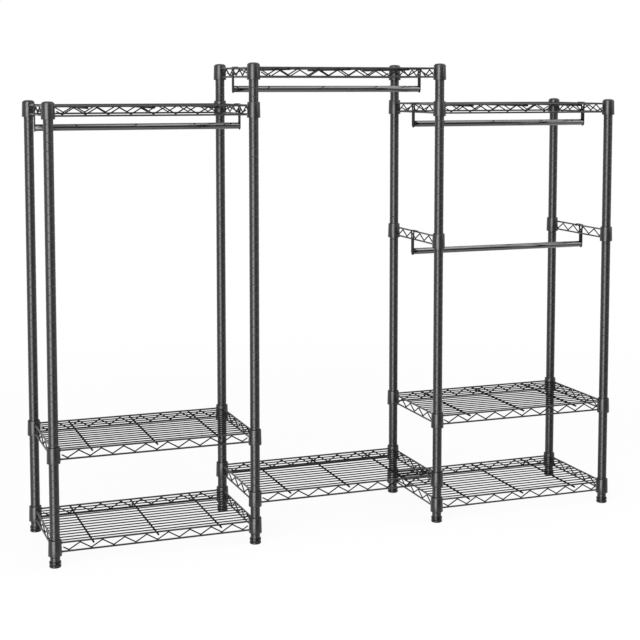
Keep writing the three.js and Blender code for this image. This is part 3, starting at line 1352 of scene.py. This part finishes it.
@dataclass(frozen=True)
class Studio:
    """Pale floor, white surroundings, soft lamps and the camera of the photograph."""

    lamps: tuple[SoftLamp, ...] = (
        SoftLamp("key_lamp", (-3.9, -4.65, 0.75), width=4.0, height=7.2, power=870),
        SoftLamp("fill_lamp", (4.2, -3.0, 2.4), width=2.6, height=2.6, power=40),
        SoftLamp("top_lamp", (0.8, -1.0, 3.1), width=3.4, height=2.0, power=45),
    )
    target: tuple[float, float, float] = (0, 0, 0.75)
    ambient: float = 0.45
    floor_size: float = 60
    floor_colour: Colour = (0.86, 0.86, 0.86)
    floor_roughness: float = 0.9
    front_gleam: float = 0.11
    gleam_fades: tuple[tuple[str, float, float], ...] = (
        ("Y", -0.9, -0.2),
        ("Z", 0.18, 0.5),
        ("Z", -0.26, -0.44),
    )
    floor_white_share: float = 0.92
    floor_white_from: float = 1.0
    floor_white_to: float = 3.5
    floor_gap: float = 0.0002
    camera_place: tuple[float, float, float] = (-1.5725, -4.1373, 1.3843)
    camera_yaw: float = 20.47
    camera_pitch: float = 4.882
    camera_shift: float = -0.18
    focal_pixels: float = 1404.7
    image_width: float = 640
    sensor_width: float = 36
    view_range: float = 100

    def surroundings(self) -> None:
        """Make the world white to the camera, a soft light, and dim in front in reflections."""
        world = bpy.data.worlds.new("studio_world")
        bpy.context.scene.world = world
        bench = NodeBench(world, "Background")
        path = bench.add("LightPath").outputs
        heading = bench.add("SeparateXYZ", {"Vector": bench.add("TexCoord").outputs["Generated"]})
        gleam = 0
        for axis, dim_until, white_from in self.gleam_fades:
            fade = (dim_until, white_from)
            side = bench.spread(heading.outputs[axis], fade, (self.front_gleam, 1))
            brightest = bench.add("Math", {0: gleam, 1: side}, operation="MAXIMUM")
            gleam = brightest.outputs["Value"]
        strength = bench.spread(path["Is Glossy Ray"], FULL_RANGE, (self.ambient, gleam))
        for kind in ("Is Transmission Ray", "Is Camera Ray"):
            strength = bench.spread(path[kind], FULL_RANGE, (strength, 1))
        bench.feed("Color", WHITE)
        bench.feed("Strength", strength)

    def floor_material(self) -> bpy.types.Material:
        """Make the floor pale, near white to the camera, with the object's shadow kept.

        Reflections pass it, so that the posts mirror the key lamp and the dim front down to
        their feet.

        Returns:
            The material.
        """
        material = bpy.data.materials.new("pale_floor")
        bench = NodeBench(material, "Principled BSDF")
        bench.feed("Base Color", (*self.floor_colour, 1))
        bench.feed("Roughness", self.floor_roughness)
        bench.feed("Specular IOR Level", 0)
        path = bench.add("LightPath").outputs
        distance = bench.add("VectorMath", {0: bench.place()}, operation="LENGTH")
        fade = (self.floor_white_from, self.floor_white_to)
        share = bench.spread(distance.outputs["Value"], fade, (self.floor_white_share, 1))
        shown = bench.add("Math", {0: path["Is Camera Ray"], 1: share}, operation="MULTIPLY")
        glow = bench.add("Emission", {"Color": WHITE}).outputs["Emission"]
        inputs = {0: shown.outputs["Value"], 1: bench.shader.outputs["BSDF"], 2: glow}
        pale = bench.add("MixShader", inputs)
        clear = bench.add("BsdfTransparent").outputs["BSDF"]
        inputs = {0: path["Is Glossy Ray"], 1: pale.outputs["Shader"], 2: clear}
        whole = bench.add("MixShader", inputs).outputs["Shader"]
        bench.put(bench.tree.nodes["Material Output"].inputs["Surface"], whole)
        return material

    def floor(self) -> None:
        """Lay the floor just under the feet."""
        select_only()
        bpy.ops.mesh.primitive_plane_add(size=self.floor_size, location=(0, 0, -self.floor_gap))
        floor = bpy.context.object
        floor.name = "studio_floor"
        bpy.ops.object.transform_apply(location=True, rotation=True, scale=True)
        floor.data.materials.append(self.floor_material())
        floor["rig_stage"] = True

    def camera(self) -> None:
        """Stand the camera where the photograph was taken from, with part of its shift."""
        data = bpy.data.cameras.new("photo_camera")
        data.sensor_width = self.sensor_width
        data.lens = self.focal_pixels / self.image_width * self.sensor_width
        data.shift_y = self.camera_shift
        data.clip_end = self.view_range
        camera = bpy.data.objects.new("photo_camera", data)
        camera.location = self.camera_place
        tilt = math.radians(90 - self.camera_pitch)
        camera.rotation_euler = (tilt, 0, -math.radians(self.camera_yaw))
        bpy.context.scene.collection.objects.link(camera)
        bpy.context.scene.camera = camera

    def build(self) -> None:
        """Set up the floor, the light and the camera."""
        self.surroundings()
        self.floor()
        for lamp in self.lamps:
            lamp.hang(Vector(self.target))
        self.camera()
        bpy.context.scene.view_settings.view_transform = "Standard"
        LOG.info("studio is ready")


def main() -> None:
    """Build the wardrobe in order."""
    logging.basicConfig(level=logging.INFO, format="%(name)s: %(message)s")
    rack = RackFrame()
    truss = TrussKit(rack)
    Studio().build()
    PostKit(rack).build()
    WireShelves(rack, truss).build()
    SideFrames(rack, truss).build()
    HangingRails(rack, truss).build()
    LOG.info("wardrobe is complete")


if __name__ == "__main__":
    main()
